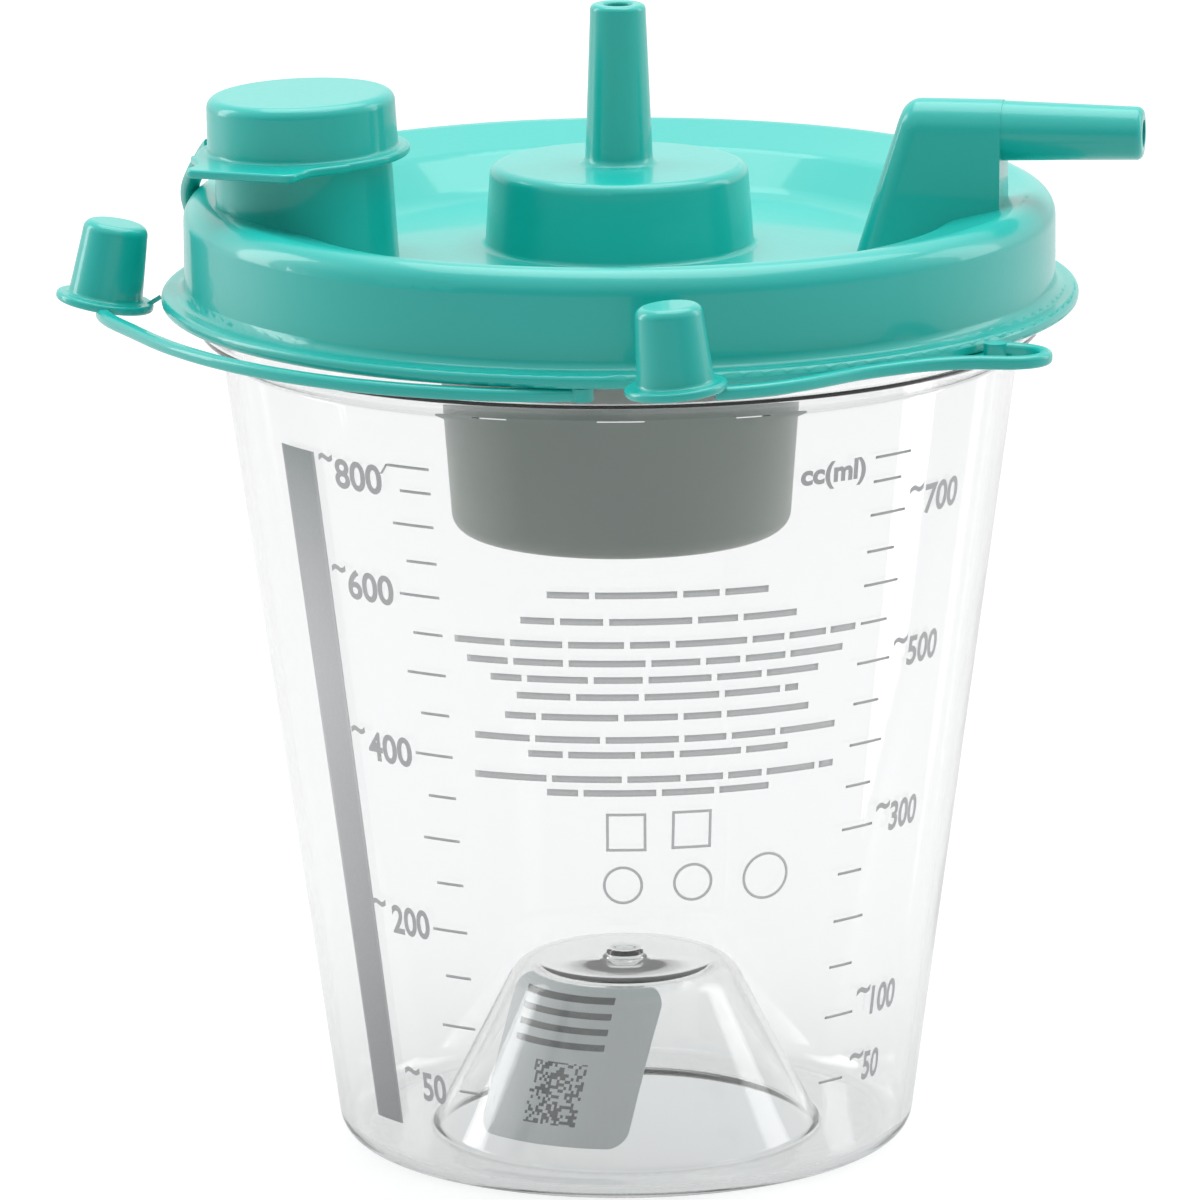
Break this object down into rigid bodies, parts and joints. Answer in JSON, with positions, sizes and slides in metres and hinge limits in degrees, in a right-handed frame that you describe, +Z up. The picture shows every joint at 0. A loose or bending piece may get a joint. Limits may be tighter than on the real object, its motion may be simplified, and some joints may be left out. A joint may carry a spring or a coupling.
{
  "type": "suction canister",
  "caption": "Clear tapered suction canister with a push-on moulded lid: vacuum stem on a central boss, patient port elbow, capped pour spout and hanging port caps.",
  "frame": {"origin": "centre of the foot, on the canister's axis, at the level it stands on", "axes": "+Z up along the canister's axis and the vacuum stem, -X towards the pour spout, -Y towards the front with the scale"},
  "size_m": [0.1597, 0.1507, 0.17],
  "materials": {
    "clear_plastic": "clear polished moulding",
    "teal_plastic": "smooth semi-gloss moulding",
    "grey_plastic": "satin moulding",
    "filter_media": "felt-like porous sheet",
    "label_paper": "printed film"
  },
  "bodies": {
    "canister": {"canister": "clear_plastic", "batch_label": "label_paper"},
    "lid": {"lid": "teal_plastic", "splash_guard": "grey_plastic", "filter_disc": "filter_media", "filter_retainer": "grey_plastic", "spout_cap_strap": "teal_plastic"},
    "spout_cap": {"spout_cap": "teal_plastic"},
    "left_port_cap": {"left_port_cap": "teal_plastic"},
    "front_port_cap": {"front_port_cap": "teal_plastic"}
  },
  "joints": [
    {"name": "lid_lift", "type": "slide", "parent": "canister", "child": "lid", "axis": [0, 0, 1], "range_m": [0, 0.055]},
    {"name": "spout_cap_lift", "type": "slide", "parent": "lid", "child": "spout_cap", "axis": [-0.0343, -0.0064, 0.9994], "range_m": [0, 0.012]},
    {"name": "left_cap_swing", "type": "hinge", "parent": "lid", "child": "left_port_cap", "pos_m": [-0.00566, -0.06463, 0.1251], "axis": [0, 0, 1], "range_deg": [0, 60]},
    {"name": "front_cap_swing", "type": "hinge", "parent": "lid", "child": "front_port_cap", "pos_m": [0.05337, -0.04558, 0.12725], "axis": [0, 0, 1], "range_deg": [0, 60]}
  ]
}
